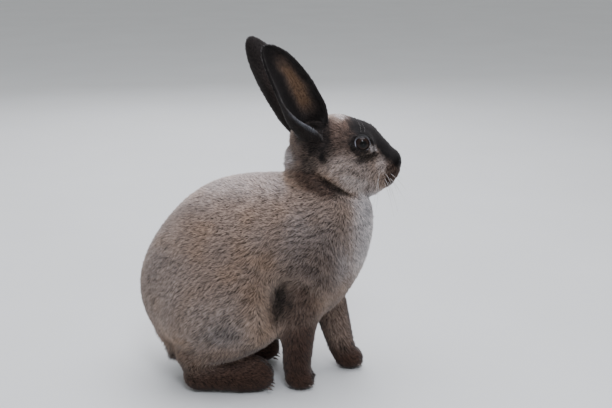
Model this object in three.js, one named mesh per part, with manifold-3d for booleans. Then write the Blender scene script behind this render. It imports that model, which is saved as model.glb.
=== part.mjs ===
// A rabbit with a short plush coat, sitting up on its haunches with its ears raised, at life size.
// The solids reach to the tips of the coat. Millimetres: +X runs from the tail to the nose,
// +Y to the animal's left, +Z up, and the floor that the feet rest on is z = 0.
import * as THREE from "three";
import Module from "manifold-3d";

const wasm = await Module();
wasm.setup();

// ---------------------------------------------------------------- driving sizes
const HIP_HALF_WIDTH = 75;
const SHOULDER_HALF_WIDTH = 57;
const CHEEK_HALF_WIDTH = 36;
const EYE_RADIUS = 9;
const EAR_HALF_WIDTH = 24.5;
const EAR_THICKNESS = 4.6;
const FORELEG_RADIUS = 18;
const HIND_FOOT_HALF_WIDTH = 18;
const CUT_GAP = 0.4; // thin cut between two neighbouring parts

const at = (x, y, z) => new THREE.Vector3(x, y, z);
const { degToRad, lerp, clamp, smoothstep } = THREE.MathUtils;

// ---------------------------------------------------------------- forms of flesh and coat
// A form is a function that gives the signed distance from a point to its surface, negative inside.

// Ellipsoid with half-axes r, its long axis raised by `pitch` degrees and swung left by `yaw`.
function lump(centre, r, pitch = 0, yaw = 0) {
  const turn = new THREE.Quaternion()
    .setFromEuler(new THREE.Euler(0, degToRad(-pitch), degToRad(yaw), "ZYX"))
    .invert();
  const q = at(0, 0, 0);
  return (p) => {
    q.copy(p).sub(centre).applyQuaternion(turn);
    const k0 = Math.hypot(q.x / r[0], q.y / r[1], q.z / r[2]);
    const k1 = Math.hypot(q.x / r[0] ** 2, q.y / r[1] ** 2, q.z / r[2] ** 2);
    return k0 < 1e-6 ? -Math.min(...r) : (k0 * (k0 - 1)) / k1;
  };
}

// Rod from a to b whose radius runs from ra to rb.
function limb(a, b, ra, rb) {
  const line = new THREE.Line3(a, b);
  const near = at(0, 0, 0);
  return (p) => {
    const t = line.closestPointToPointParameter(p, true);
    return p.distanceTo(line.at(t, near)) - lerp(ra, rb, t);
  };
}

// Union of two distances that fills the crease between them over a width k.
function blend(a, b, k) {
  const h = Math.max(k - Math.abs(a - b), 0) / k;
  return Math.min(a, b) - (h * h * k) / 4;
}

// Joins forms in turn: each entry is [form, width of the fillet towards what came before it].
const joined = (entries) => (p) =>
  entries.slice(1).reduce((d, [form, k]) => blend(d, form(p), k), entries[0][0](p));

const LEFT = 1;
const RIGHT = -1;
const bothSides = (make) => [LEFT, RIGHT].flatMap(make);

// ---- trunk and neck
const trunkAndNeck = joined([
  [lump(at(-60, 0, 115), [93, HIP_HALF_WIDTH - 4, 91], 50), 0], // rump and belly
  [lump(at(-28, 0, 159), [80, HIP_HALF_WIDTH - 8, 85], 19), 40], // loin
  [lump(at(37, 0, 161), [68, SHOULDER_HALF_WIDTH - 2, 82]), 50], // ribs and withers
  [lump(at(74, 0, 194), [40, 38, 57]), 30], // breast
  ...bothSides((side) => [
    [lump(at(46, side * (SHOULDER_HALF_WIDTH - 21), 152), [33, 22, 46], -12), 16], // shoulder
  ]),
  [limb(at(64, 0, 205), at(60, 0, 262), 40, 31), 26], // throat
  [limb(at(57, 0, 236), at(48, 0, 286), 33, 26), 14], // nape
]);

// ---- head
const head = joined([
  [lump(at(75, 0, 282.5), [34.5, 30, 33], -8), 0], // skull
  [limb(at(103.5, 0, 282.5), at(129, 0, 263.5), 23, 16.5), 16], // bridge of the nose
  [lump(at(134, 0, 253), [11, 14, 19], -15), 10], // nose and lips
  ...bothSides((side) => [
    [lump(at(82, side * (CHEEK_HALF_WIDTH - 20), 257), [33, 20, 28], -14), 14], // cheek
    [lump(at(102, side * 19, 285), [16, 9, 14]), 8], // brow and lids
    [lump(at(122, side * 9, 252), [15, 11, 15], -15), 10], // whisker pad
    [limb(at(58, side * 15, 262), at(49, side * 17, 286), 16, 16), 9], // root of the ear
  ]),
  [lump(at(113, 0, 238), [14.5, 13, 16], -20), 12], // chin
]);

// ---- limbs; side is +1 on the left and -1 on the right
const thigh = (side) =>
  joined([
    [lump(at(-50, side * (HIP_HALF_WIDTH - 29), 100), [66, 34, 58], 16, side * -5), 0],
    [lump(at(-14, side * (HIP_HALF_WIDTH - 28), 92), [24, 25, 26]), 16], // knee
  ]);
const shank = (side) => limb(at(-18, side * 46, 78), at(-86, side * 38, 42), 20, 21);
const hindFootMiddle = 41;
const hindFoot = (side) =>
  joined([
    [limb(at(-80, side * hindFootMiddle, 18), at(-34, side * hindFootMiddle, 18.5), 19, 20), 0],
    [lump(at(-20, side * hindFootMiddle, 21), [28, HIND_FOOT_HALF_WIDTH, 22.5], -9), 8], // toes
  ]);
const forelegs = {
  left: { elbow: at(58, 28, 118), wrist: at(82, 29, 28), toes: at(92, 29, 12) },
  right: { elbow: at(36, -32, 118), wrist: at(32, -31, 28), toes: at(36, -31, 12) },
};
const foreleg = ({ elbow, wrist, toes }) =>
  joined([
    [limb(elbow, wrist, FORELEG_RADIUS + 6, FORELEG_RADIUS - 1.5), 0],
    [lump(toes, [18, FORELEG_RADIUS - 1.5, 14]), 10],
  ]);
const tail = limb(at(-114, 0, 61), at(-109, 0, 34), 21, 15);

const bodyOnHaunches = joined([
  [trunkAndNeck, 0],
  [head, 9],
  ...bothSides((side) => [
    [thigh(side), 20],
    [shank(side), 12],
  ]),
  [foreleg(forelegs.left), 16],
  [foreleg(forelegs.right), 16],
  [tail, 12],
]);
const body = joined([[bodyOnHaunches, 0], ...bothSides((side) => [[hindFoot(side), 9]])]);

// ---------------------------------------------------------------- from a form to a solid

// Manifold solid of a closed BufferGeometry whose shared vertices are already one.
function solidOf(geometry) {
  const vertProperties = new Float32Array(geometry.getAttribute("position").array);
  const triVerts = new Uint32Array(geometry.index.array);
  return new wasm.Manifold(new wasm.Mesh({ numProp: 3, vertProperties, triVerts }));
}

// The surface where form = level inside a box, by surface nets: one vertex in each grid cell that the
// surface crosses, slid along the slope onto the surface, and one quad round each crossed grid edge.
function surface(form, [low, high], cell, level = 0) {
  const [nx, ny, nz] = ["x", "y", "z"].map((k) => Math.ceil((high[k] - low[k]) / cell) + 1);
  const gridPoint = (i, j, k) => at(low.x + i * cell, low.y + j * cell, low.z + k * cell);
  const id = (i, j, k) => (k * ny + j) * nx + i;
  const onRim = (i, j, k) => Math.min(i, j, k) < 2 || i === nx - 1 || j === ny - 1 || k === nz - 1;
  const eachCell = (first, act) => {
    for (let k = first; k < nz - 1; k++)
      for (let j = first; j < ny - 1; j++) for (let i = first; i < nx - 1; i++) act(i, j, k);
  };
  const inside = new Uint8Array(nx * ny * nz);
  eachCell(0, (i, j, k) => {
    inside[id(i, j, k)] = !onRim(i, j, k) && form(gridPoint(i, j, k)) < level ? 1 : 0;
  });

  const step = 0.5;
  const ontoSurface = (p) => {
    for (let n = 0; n < 4; n++) {
      const slope = at(
        form(at(p.x + step, p.y, p.z)) - form(at(p.x - step, p.y, p.z)),
        form(at(p.x, p.y + step, p.z)) - form(at(p.x, p.y - step, p.z)),
        form(at(p.x, p.y, p.z + step)) - form(at(p.x, p.y, p.z - step)),
      ).divideScalar(2 * step);
      const move = (form(p) - level) / Math.max(slope.lengthSq(), 0.05);
      p.addScaledVector(slope, -clamp(move, -cell / 3, cell / 3));
    }
    return p;
  };

  const vertices = [];
  const vertexOf = new Map();
  eachCell(0, (i, j, k) => {
    let filled = 0;
    for (let c = 0; c < 8; c++) filled += inside[id(i + (c & 1), j + ((c >> 1) & 1), k + (c >> 2))];
    if (filled === 0 || filled === 8) return;
    vertexOf.set(id(i, j, k), vertices.length);
    vertices.push(ontoSurface(gridPoint(i + 0.5, j + 0.5, k + 0.5)));
  });

  const triangles = [];
  const axes = [
    [1, 0, 0],
    [0, 1, 0],
    [0, 0, 1],
  ];
  const roundEdge = [
    [0, 0],
    [1, 0],
    [1, 1],
    [0, 1],
  ];
  eachCell(1, (i, j, k) =>
    axes.forEach(([x, y, z], n) => {
      const here = inside[id(i, j, k)];
      if (here === inside[id(i + x, j + y, k + z)]) return;
      const [u, v] = [axes[(n + 1) % 3], axes[(n + 2) % 3]];
      const back = (m, a, b) => a * u[m] + b * v[m];
      const ring = roundEdge.map(([a, b]) =>
        vertexOf.get(id(i - back(0, a, b), j - back(1, a, b), k - back(2, a, b))),
      );
      const [a, b, c, d] = here ? ring : ring.reverse();
      const acrossIsShort = vertices[a].distanceTo(vertices[c]) < vertices[b].distanceTo(vertices[d]);
      triangles.push(...(acrossIsShort ? [a, b, c, a, c, d] : [a, b, d, b, c, d]));
    }),
  );
  return new THREE.BufferGeometry().setFromPoints(vertices).setIndex(triangles);
}

const boxOf = (x0, x1, y0, y1, z0, z1) => [at(x0, y0, z0), at(x1, y1, z1)];
const solidForm = (form, box, cell, level = 0) => solidOf(surface(form, box, cell, level));

// Everything on the side of a plane that its normal points to, as a large slab.
function beyond(point, normal, shift = 0) {
  const size = 800;
  const slab = new THREE.BoxGeometry(size, size, size);
  const way = normal.clone().normalize();
  slab.translate(0, 0, size / 2 + shift);
  slab.applyQuaternion(new THREE.Quaternion().setFromUnitVectors(at(0, 0, 1), way));
  slab.translate(point.x, point.y, point.z);
  return closed(slab);
}

// Solid of a three.js primitive, whose faces don't yet share their vertices.
function closed(geometry) {
  const key = (v) => [0, 1, 2].map((c) => Math.round(v[c] * 1e4)).join();
  const position = geometry.getAttribute("position").array;
  const corners = new Map();
  const index = geometry.index
    ? Array.from(geometry.index.array)
    : Array.from({ length: position.length / 3 }, (_, n) => n);
  const points = [];
  const merged = index.map((n) => {
    const v = position.subarray(3 * n, 3 * n + 3);
    if (!corners.has(key(v))) {
      corners.set(key(v), points.length);
      points.push(at(...v));
    }
    return corners.get(key(v));
  });
  const faces = [];
  for (let n = 0; n < merged.length; n += 3) {
    const [a, b, c] = merged.slice(n, n + 3);
    if (a !== b && b !== c && c !== a) faces.push(a, b, c);
  }
  return solidOf(new THREE.BufferGeometry().setFromPoints(points).setIndex(faces));
}

// ---------------------------------------------------------------- ears
// An ear is a cup carried along a bowed line: across it, a crescent that opens towards `opening`. Towards
// the root the rear edge rolls over to the front, and the ear narrows to the share `base` of its width.
const ears = {
  left: {
    root: at(52, 16, 287), bow: at(9, 35, 339), tip: at(-25, 38, 394), opening: at(0, 1, 0.1), base: 0.8,
  },
  right: {
    root: at(55, -16, 286), bow: at(31, -32, 362), tip: at(-2, -36, 393), opening: at(0.26, -1, 0.1), base: 0.6,
  },
};

function earSolid({ root, bow, tip, opening, base }) {
  const line = new THREE.QuadraticBezierCurve3(root, bow, tip);
  const along = 11; // stations from root to tip
  const across = 6; // points on each of the crescent's two arcs
  const rings = [];
  for (let n = 0; n < along; n++) {
    const s = Math.sin(((n / (along - 1)) * Math.PI) / 2);
    const middle = line.getPointAt(s);
    const way = line.getTangentAt(s);
    const open = opening.clone().addScaledVector(way, -opening.dot(way)).normalize();
    const side = new THREE.Vector3().crossVectors(way, open);
    const widening = lerp(base, 1, smoothstep(s, 0, 0.32));
    const halfWidth = EAR_HALF_WIDTH * Math.max(1 - s ** 2.6, 0.004) ** 0.45 * widening;
    const depth = halfWidth * lerp(0.9, 0.5, s);
    const rear = -degToRad(84 + 112 * clamp((0.58 - s) / 0.5, 0, 1)); // the crescent runs from here
    const front = degToRad(84 + 20 * Math.max(1 - 2.5 * s, 0)); // to here, round from its deepest line
    const thickness = EAR_THICKNESS * Math.min(1, halfWidth / 9);
    const arc = (inset, from, to) =>
      Array.from({ length: across }, (_, m) => {
        const angle = lerp(from, to, m / (across - 1));
        return middle
          .clone()
          .addScaledVector(side, (halfWidth - inset) * Math.sin(angle))
          .addScaledVector(open, -(depth - inset) * Math.cos(angle));
      });
    rings.push([...arc(0, rear, front), ...arc(thickness, front * 0.97, rear * 0.97)]);
  }
  const per = rings[0].length;
  const faces = [];
  for (let n = 0; n < along - 1; n++)
    for (let m = 0; m < per; m++) {
      const [a, b] = [n * per + m, n * per + ((m + 1) % per)];
      faces.push(a, b + per, b, a, a + per, b + per);
    }
  for (let m = 0; m < across - 1; m++) {
    const last = (along - 1) * per;
    const [a, b, c, d] = [m, m + 1, per - 2 - m, per - 1 - m];
    faces.push(a, b, c, a, c, d, last + a, last + c, last + b, last + a, last + d, last + c);
  }
  return solidOf(new THREE.BufferGeometry().setFromPoints(rings.flat()).setIndex(faces));
}

// ---------------------------------------------------------------- parting the animal into its named parts
// A part is what a simple closed region holds of the whole animal; the region, grown by the cut's gap,
// is then taken out of what is left.
function egg(centre, r, { pitch = 0, grow = 0, around = 18, down = 10 } = {}) {
  const shape = new THREE.SphereGeometry(1, around, down);
  shape.scale(r[0] + grow, r[1] + grow, r[2] + grow).rotateY(degToRad(-pitch));
  return closed(shape.translate(...centre.toArray()));
}

function capsule(a, b, radius, { grow = 0 } = {}) {
  const shape = new THREE.CapsuleGeometry(radius + grow, a.distanceTo(b), 3, 12);
  const way = b.clone().sub(a).normalize();
  shape.applyQuaternion(new THREE.Quaternion().setFromUnitVectors(at(0, 1, 0), way));
  return closed(shape.translate(...a.clone().add(b).divideScalar(2).toArray()));
}

const sides = { left: LEFT, right: RIGHT };
const regions = {};
for (const [name, side] of Object.entries(sides)) {
  const heel = at(-70, side * hindFootMiddle, 18);
  const toes = at(-16, side * hindFootMiddle, 18);
  const { elbow, wrist } = forelegs[name];
  regions[`hind_foot_${name}`] = {
    cell: 10,
    box: boxOf(-140, 50, side * 42 - 50, side * 42 + 50, -30, 90),
    region: (grow) => capsule(heel, toes, HIND_FOOT_HALF_WIDTH + 6, { grow }),
  };
  regions[`foreleg_${name}`] = {
    cell: 10,
    box: boxOf(wrist.x - 56, wrist.x + 60, wrist.y - 47, wrist.y + 50, -28, 165),
    region: (grow) => capsule(elbow, wrist.clone().setZ(0), FORELEG_RADIUS + 8, { grow }),
  };
  regions[`thigh_${name}`] = {
    region: (grow) => egg(at(-46, side * 60, 98), [70, 34, 60], { pitch: 16, grow }),
  };
}
regions.tail = {
  cell: 10,
  box: boxOf(-175, -60, -50, 50, -20, 130),
  region: (grow) => egg(at(-124, 0, 44), [24, 24, 38], { grow, around: 12, down: 8 }),
};

// Where the trunk ends and the neck begins, and the neck ends and the head begins.
const neckBase = { point: at(62, 0, 232), normal: at(0.42, 0, 0.91).normalize() };
const headBase = { point: at(58, 0, 254), normal: at(0.66, 0, 0.75).normalize() };
const above = ({ point, normal }) => beyond(point, normal, CUT_GAP / 2);
const below = ({ point, normal }) => beyond(point, normal.clone().negate(), CUT_GAP / 2);
const overFloor = beyond(at(0, 0, 0), at(0, 0, 1));
const without = (solid, ...cutters) => cutters.reduce((a, b) => a.subtract(b), solid);

const solids = {};
let rest = solidForm(bodyOnHaunches, boxOf(-200, 180, -112, 112, -46, 350), 16).intersect(overFloor);
const takenOut = [];
for (const [name, { cell, box, region }] of Object.entries(regions)) {
  const source = cell ? solidForm(body, box, cell).intersect(overFloor) : rest;
  solids[name] = without(source.intersect(region(0)), ...takenOut);
  takenOut.push(region(CUT_GAP));
  rest = rest.subtract(region(CUT_GAP));
}
solids.trunk = rest.intersect(below(neckBase));

const headBox = boxOf(-30, 180, -70, 70, 175, 350);
const underNeck = (p) => neckBase.normal.dot(neckBase.point) - neckBase.normal.dot(p) - 12;
const upperBody = (p) => Math.max(body(p), underNeck(p));
const headAndNeck = solidForm(upperBody, headBox, 7.8);
const eyeBall = (name, grow) => {
  const r = EYE_RADIUS + grow;
  return egg(at(103, sides[name] * 22, 288), [r, r, r], { around: 12, down: 7 });
};
solids.neck = headAndNeck.intersect(above(neckBase)).intersect(below(headBase));
solids.head = without(
  headAndNeck.intersect(above(headBase)).intersect(above(neckBase)),
  eyeBall("left", CUT_GAP),
  eyeBall("right", CUT_GAP),
);
for (const name of Object.keys(sides)) {
  solids[`eye_${name}`] = eyeBall(name, 0);
  solids[`ear_${name}`] = earSolid(ears[name]).subtract(solidForm(upperBody, headBox, 7.8, CUT_GAP));
}

// ---------------------------------------------------------------- the model
const finishes = {
  coat: new THREE.MeshStandardMaterial({ color: 0x6f5f57, roughness: 0.95, metalness: 0 }),
  points: new THREE.MeshStandardMaterial({ color: 0x2f2523, roughness: 0.9, metalness: 0 }),
  eye: new THREE.MeshStandardMaterial({ color: 0x120d0c, roughness: 0.08, metalness: 0 }),
};
const finishOf = (name) => {
  if (name.startsWith("eye")) return finishes.eye;
  return /^(ear|foreleg|hind_foot)/.test(name) ? finishes.points : finishes.coat;
};

const rabbit = new THREE.Group();
rabbit.name = "rabbit";
for (const [name, solid] of Object.entries(solids)) {
  // A cut can leave a crumb beside the part, so the largest piece is the one kept.
  const [largest] = solid.decompose().sort((a, b) => b.volume() - a.volume());
  const { vertProperties, triVerts } = largest.getMesh();
  const geometry = new THREE.BufferGeometry();
  geometry.setAttribute("position", new THREE.BufferAttribute(vertProperties, 3));
  geometry.setIndex(new THREE.BufferAttribute(triVerts, 1));
  geometry.computeVertexNormals();
  const mesh = new THREE.Mesh(geometry, finishOf(name));
  mesh.name = name;
  rabbit.add(mesh);
}

// The middle of the underside of the animal's box is the origin.
const size = new THREE.Box3().setFromObject(rabbit);
rabbit.position.set(-(size.min.x + size.max.x) / 2, -(size.min.y + size.max.y) / 2, -size.min.z);

export default rabbit;
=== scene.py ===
"""A full-grown rabbit with a short plush coat, sitting up on its haunches with both ears raised.

One skin covers trunk, neck, head, limbs, tail and ears. Its shape is a blend of egg and rod forms,
written as signed distances in millimetres, and it lies below the tips of the coat by the coat's depth.
The coat is thousands of thin pointed tufts that lean with the lie of the fur. Eyes, the lids' rims,
the nose pad, claws and whiskers are pieces of their own.
"""
import math

import bmesh
import bpy
import numpy as np
from mathutils import Matrix, Vector


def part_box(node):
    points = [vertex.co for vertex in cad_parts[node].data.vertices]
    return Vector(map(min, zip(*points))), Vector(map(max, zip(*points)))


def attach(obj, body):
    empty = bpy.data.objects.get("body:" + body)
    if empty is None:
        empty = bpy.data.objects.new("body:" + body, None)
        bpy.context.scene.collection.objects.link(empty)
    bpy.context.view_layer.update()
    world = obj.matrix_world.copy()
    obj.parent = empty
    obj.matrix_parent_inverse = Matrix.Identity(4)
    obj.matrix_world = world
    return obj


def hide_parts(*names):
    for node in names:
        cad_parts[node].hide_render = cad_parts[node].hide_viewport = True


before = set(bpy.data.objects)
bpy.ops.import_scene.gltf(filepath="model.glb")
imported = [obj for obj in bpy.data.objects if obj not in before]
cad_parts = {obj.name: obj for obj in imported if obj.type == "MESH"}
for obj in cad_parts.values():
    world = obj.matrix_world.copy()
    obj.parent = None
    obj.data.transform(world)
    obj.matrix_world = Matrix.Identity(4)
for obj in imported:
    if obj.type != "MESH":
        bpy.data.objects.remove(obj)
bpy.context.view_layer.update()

MM = 0.001
LEFT, RIGHT = 1, -1
SIDES = {"left": LEFT, "right": RIGHT}
NAMES = {side: name for name, side in SIDES.items()}

# The forms below are written in the animal's own millimetres, with the floor at z = 0. Their origin is
# told from the frame by the left eyeball, whose middle is known in both.
EYE_MIDDLE = np.array([103.0, 22.0, 288.0])
eye_low, eye_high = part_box("eye_left")
ORIGIN = np.array((eye_low + eye_high) / 2) - EYE_MIDDLE * MM


def to_row(points):
    """Animal millimetres to metres in the frame."""
    return np.asarray(points, float) * MM + ORIGIN


# ------------------------ camera
VIEW_FROM = (99.1, -1108.3, 530.0)
VIEW_PITCH = math.radians(16)  # down from level
VIEW_SWING = math.radians(3)  # towards the head
camera_data = bpy.data.cameras.new("camera")
camera_data.lens, camera_data.sensor_width = 60, 36
camera = bpy.data.objects.new("camera", camera_data)
bpy.context.scene.collection.objects.link(camera)
bpy.context.scene.camera = camera
camera.location = Vector(to_row(VIEW_FROM))
camera.rotation_euler = (math.pi / 2 - VIEW_PITCH, 0, VIEW_SWING)


# ------------------------ forms
def unit(v):
    """Vectors over their own lengths."""
    return v / np.maximum(np.linalg.norm(v, axis=-1, keepdims=True), 1e-9)


def lump(centre, radii, pitch=0, yaw=0):
    """Distance to an egg: k0 (k0 - 1) / k1, where k0 and k1 are the lengths of the offset over the radii
    and over their squares. Its long axis is raised by pitch degrees and swung left by yaw."""
    turn = Matrix.Rotation(math.radians(yaw), 3, "Z") @ Matrix.Rotation(math.radians(-pitch), 3, "Y")
    turn, centre, radii = np.array(turn), np.array(centre, float), np.array(radii, float)

    def distance(p):
        q = (p - centre) @ turn
        k0 = np.linalg.norm(q / radii, axis=-1)
        k1 = np.linalg.norm(q / radii**2, axis=-1)
        return k0 * (k0 - 1) / np.maximum(k1, 1e-9)

    def skin(across, around):
        """The egg as a grid: latitude by longitude, scaled by the radii, turned and moved."""
        lat, lon = grid(across, around, -math.pi / 2, math.pi / 2)
        ball = np.stack([np.sin(lat), np.cos(lat) * np.cos(lon), np.cos(lat) * np.sin(lon)], -1)
        return ball * radii @ turn.T + centre

    distance.skin = skin
    return distance


def limb(a, b, ra, rb):
    """Distance to a rod from a to b whose radius runs from ra to rb: the distance to the nearest point
    of the line, less the radius there."""
    a, b = np.array(a, float), np.array(b, float)
    line = b - a

    def distance(p):
        t = np.clip((p - a) @ line / (line @ line), 0, 1)
        return np.linalg.norm(p - a - t[..., None] * line, axis=-1) - (ra + (rb - ra) * t)

    def skin(across, around):
        """The rod as a grid: half a turn of the end ball, the length, and half a turn of the other."""
        lat, lon = grid(across, around, -math.pi / 2, math.pi / 2)
        along = unit(line)
        side = unit(np.cross(along, [0.3, 1, 0.2]))
        up = np.cross(along, side)
        end = (lat > 0)[..., None]
        ring = np.cos(lat)[..., None] * (np.cos(lon)[..., None] * side + np.sin(lon)[..., None] * up)
        ball = ring + np.sin(lat)[..., None] * along
        return np.where(end, b + rb * ball, a + ra * ball)

    distance.skin = skin
    return distance


def grid(rows, columns, low, high):
    """Two arrays of rows x columns: one running from low to high, one once round."""
    u = np.linspace(low, high, rows)
    v = np.linspace(0, 2 * math.pi, columns, endpoint=False)
    return np.meshgrid(u, v, indexing="ij")


def blend(a, b, k):
    """The nearer of two distances, less h^2 k / 4 where they differ by less than k: a fillet of width k."""
    h = np.maximum(k - np.abs(a - b), 0) / k
    return np.minimum(a, b) - h * h * k / 4


def carve(a, b, k):
    """a with b taken away, and the edge between them rounded over k."""
    h = np.maximum(k - np.abs(a + b), 0) / k
    return np.maximum(a, -b) + h * h * k / 4


def joined(entries):
    """Forms joined in turn, each with the width of its fillet towards those before it."""

    def distance(p):
        d = entries[0][0](p)
        for form, k in entries[1:]:
            d = blend(d, form(p), k)
        return d

    return distance


def both_sides(make):
    """The entries that make(side) gives for the left and then for the right."""
    return [entry for side in (LEFT, RIGHT) for entry in make(side)]


HIP_HALF_WIDTH = 75
SHOULDER_HALF_WIDTH = 57
CHEEK_HALF_WIDTH = 36
FORELEG_RADIUS = 18
HIND_FOOT_HALF_WIDTH = 18
HIND_FOOT_MIDDLE = 41

trunk_forms = [
    (lump((-60, 0, 115), (93, HIP_HALF_WIDTH - 4, 91), 50), 0),  # rump and belly
    (lump((-28, 0, 159), (80, HIP_HALF_WIDTH - 8, 85), 19), 40),  # loin
    (lump((37, 0, 161), (68, SHOULDER_HALF_WIDTH - 2, 82)), 50),  # ribs and withers
    (lump((74, 0, 194), (40, 38, 57)), 30),  # breast
    *both_sides(lambda s: [(lump((46, s * (SHOULDER_HALF_WIDTH - 21), 152), (33, 22, 46), -12), 16)]),
    (limb((64, 0, 205), (60, 0, 262), 40, 31), 26),  # throat
    (limb((57, 0, 236), (48, 0, 286), 33, 26), 14),  # nape
]
head_forms = [
    (lump((75, 0, 282.5), (34.5, 30, 33), -8), 0),  # skull
    (limb((103.5, 0, 282.5), (129, 0, 263.5), 23, 16.5), 16),  # bridge of the nose
    (lump((134, 0, 253), (11, 14, 19), -15), 10),  # nose and lips
    *both_sides(
        lambda s: [
            (lump((82, s * (CHEEK_HALF_WIDTH - 20), 257), (33, 20, 28), -14), 14),  # cheek
            (lump((102, s * 19, 285), (16, 9, 14)), 8),  # brow and lids
            (lump((122, s * 9, 252), (15, 11, 15), -15), 10),  # whisker pad
            (limb((58, s * 15, 262), (49, s * 17, 286), 16, 16), 9),  # root of the ear
        ]
    ),
    (lump((113, 0, 238), (14.5, 13, 16), -20), 12),  # chin
]


def thigh_forms(side):
    """The haunch and the knee it ends in."""
    return [
        (lump((-50, side * (HIP_HALF_WIDTH - 29), 100), (66, 34, 58), 16, side * -5), 0),
        (lump((-14, side * (HIP_HALF_WIDTH - 28), 92), (24, 25, 26)), 16),  # knee
    ]


def shank_form(side):
    """The folded lower leg, from the knee back to the hock."""
    return limb((-18, side * 46, 78), (-86, side * 38, 42), 20, 21)


def hind_foot_forms(side):
    """The long foot, flat on the floor, and its toes."""
    y = side * HIND_FOOT_MIDDLE
    return [
        (limb((-80, y, 18), (-34, y, 18.5), 19, 20), 0),
        (lump((-20, y, 21), (28, HIND_FOOT_HALF_WIDTH, 22.5), -9), 8),  # toes
    ]


FORELEGS = {
    "left": ((58, 28, 118), (82, 29, 28), (92, 29, 12)),
    "right": ((36, -32, 118), (32, -31, 28), (36, -31, 12)),
}


def foreleg_forms(elbow, wrist, toes):
    """The straight foreleg and its paw."""
    return [
        (limb(elbow, wrist, FORELEG_RADIUS + 6, FORELEG_RADIUS - 1.5), 0),
        (lump(toes, (18, FORELEG_RADIUS - 1.5, 14)), 10),
    ]


tail_form = limb((-114, 0, 61), (-109, 0, 34), 21, 15)
trunk, head = joined(trunk_forms), joined(head_forms)
thighs = {s: joined(thigh_forms(s)) for s in (LEFT, RIGHT)}
shanks = {s: shank_form(s) for s in (LEFT, RIGHT)}
hind_feet = {s: joined(hind_foot_forms(s)) for s in (LEFT, RIGHT)}
forelegs = {SIDES[name]: joined(foreleg_forms(*joints)) for name, joints in FORELEGS.items()}

WHOLE = [
    (trunk, 0),
    (head, 9),
    *both_sides(lambda s: [(thighs[s], 20), (shanks[s], 12), (hind_feet[s], 9)]),
    (forelegs[LEFT], 16),
    (forelegs[RIGHT], 16),
    (tail_form, 12),
]
coat_tips = joined(WHOLE)

# ------------------------ the coat's regions
# Each region of the coat has its own depth over the skin and its own tufts, in millimetres. lift is the
# tuft's angle from the skin in degrees, and density the tufts to a square millimetre.
REGIONS = {
    "body": dict(depth=3.5, length=5.0, width=0.85, lift=40, density=1.7),
    "head": dict(depth=2.4, length=4.0, width=0.8, lift=28, density=2.9),
    "foreleg": dict(depth=2.6, length=4.4, width=0.9, lift=28, density=1.7),
    "hind_foot": dict(depth=2.6, length=4.0, width=0.9, lift=28, density=1.8),
    "tail": dict(depth=6.0, length=12.0, width=1.4, lift=45, density=1.5),
    "muzzle": dict(depth=1.5, length=2.4, width=0.7, lift=34, density=4.0),
    "ear": dict(depth=0.9, length=2.5, width=0.65, lift=18, density=2.3),
}


def ramp(x, low, high):
    """0 at low, 1 at high, and 3 t^2 - 2 t^3 between them."""
    t = np.clip((x - low) / (high - low), 0, 1)
    return t * t * (3 - 2 * t)


def region_shares(p):
    """How far each point belongs to each region, adding up to 1: e^(-distance / 5 mm) of its forms, the
    head counted 2 mm further off. The muzzle takes over from the head along x."""
    body = np.minimum.reduce([trunk(p), *(f(p) for s in (LEFT, RIGHT) for f in (thighs[s], shanks[s]))])
    fore = np.minimum(forelegs[LEFT](p), forelegs[RIGHT](p))
    hind = np.minimum(hind_feet[LEFT](p), hind_feet[RIGHT](p))
    near = np.exp(-np.stack([body, head(p) + 2, fore, hind, tail_form(p)]) / 5)
    shares = dict(zip(("body", "head", "foreleg", "hind_foot", "tail"), near / near.sum(0)))
    muzzle = ramp(p[..., 0], 108, 132)
    shares["muzzle"] = shares["head"] * muzzle
    shares["head"] = shares["head"] * (1 - muzzle)
    return shares


def regional(shares, key):
    """A region's value at each point, mixed by the shares."""
    return sum(share * REGIONS[name][key] for name, share in shares.items())


# ------------------------ ears
# An ear is a cup carried along a bowed line: across it, a crescent that opens towards `opening`.
EAR_HALF_WIDTH = 24.5
EAR_COAT = REGIONS["ear"]["depth"]
EAR_GRISTLE = 2.4  # thickness of the ear without its fur
EARS = {
    "left": dict(root=(52, 16, 287), bow=(9, 35, 339), tip=(-25, 38, 394), opening=(0, 1, 0.1), base=0.8),
    "right": dict(
        root=(55, -16, 286), bow=(31, -32, 362), tip=(-2, -36, 393), opening=(0.26, -1, 0.1), base=0.6
    ),
}


def ear_frames(root, bow, tip, opening, base, stations):
    """Points of the bowed line (1-t)^2 root + 2t(1-t) bow + t^2 tip at even lengths s, closer together
    near the tip, with the directions along, open and side, and the ear's half width there, which narrows
    to the share `base` at the root."""
    root, bow, tip, opening = (np.array(v, float) for v in (root, bow, tip, opening))
    t = np.linspace(0, 1, 400)[:, None]
    line = (1 - t) ** 2 * root + 2 * t * (1 - t) * bow + t**2 * tip
    length = np.concatenate([[0], np.cumsum(np.linalg.norm(np.diff(line, axis=0), axis=1))])
    s = np.sin(np.linspace(0, math.pi / 2, stations))
    t = np.interp(s * length[-1], length, t[:, 0])[:, None]
    middle = (1 - t) ** 2 * root + 2 * t * (1 - t) * bow + t**2 * tip
    along = unit(2 * (1 - t) * (bow - root) + 2 * t * (tip - bow))
    open_way = unit(opening - along * (along @ opening)[:, None])
    side_way = np.cross(along, open_way)
    half = EAR_HALF_WIDTH * np.maximum(1 - s**2.6, 0.004) ** 0.45 * (base + (1 - base) * ramp(s, 0, 0.32))
    return s, middle, along, open_way, side_way, half


EAR_LINES = {name: ear_frames(**ear, stations=90) for name, ear in EARS.items()}
AT_ONCE = 20_000  # points set against the ears' lines at a time, to save memory


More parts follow.
